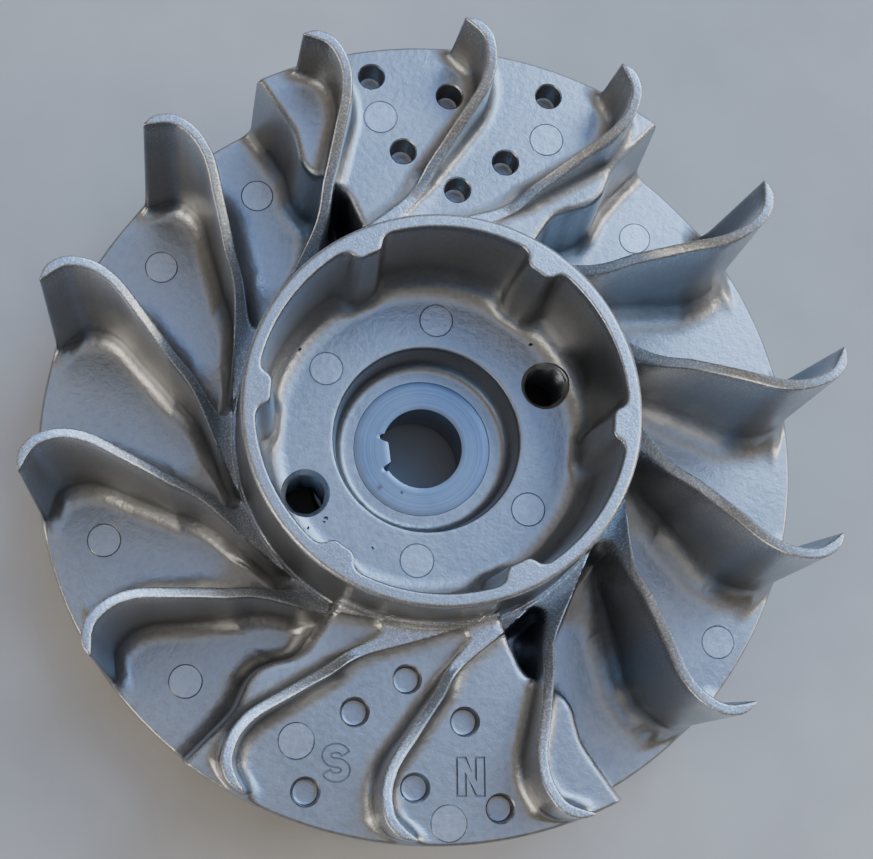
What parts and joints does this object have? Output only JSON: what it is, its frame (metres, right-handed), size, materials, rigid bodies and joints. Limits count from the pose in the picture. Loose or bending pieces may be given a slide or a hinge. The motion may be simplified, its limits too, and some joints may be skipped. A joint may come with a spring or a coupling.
{
  "type": "fan flywheel",
  "caption": "Die-cast fan flywheel with curved blades, a lugged starter cup, a keyed steel hub and a magnet with pole shoes in a block at its rim.",
  "frame": {"origin": "on the crank axis, in the plane of the skirt's lower edge, where the flywheel lies with its cup up", "axes": "+Z along the crank axis toward the starter cup, +Y toward the middle of the counterweight block, -Y toward the middle of the magnet block"},
  "size_m": [0.1392, 0.14, 0.054],
  "materials": {
    "cast_aluminium": "as-cast, satin, slightly granular",
    "hub_steel": "fine turned",
    "magnet_alloy": "ground, dull",
    "pole_steel": "laminated, ground face"
  },
  "bodies": {
    "root": {"fan_disc": "cast_aluminium", "starter_cup": "cast_aluminium", "hub_boss": "cast_aluminium", "counterweight_block": "cast_aluminium", "magnet_block": "cast_aluminium", "fan_blade_01": "cast_aluminium", "fan_blade_02": "cast_aluminium", "fan_blade_03": "cast_aluminium", "fan_blade_04": "cast_aluminium", "fan_blade_05": "cast_aluminium", "fan_blade_06": "cast_aluminium", "fan_blade_07": "cast_aluminium", "fan_blade_08": "cast_aluminium", "fan_blade_09": "cast_aluminium", "fan_blade_10": "cast_aluminium", "fan_blade_11": "cast_aluminium", "fan_blade_12": "cast_aluminium", "fan_blade_13": "cast_aluminium", "fan_blade_14": "cast_aluminium", "steel_hub": "hub_steel", "magnet": "magnet_alloy", "pole_shoe_north": "pole_steel", "pole_shoe_south": "pole_steel"}
  },
  "joints": []
}
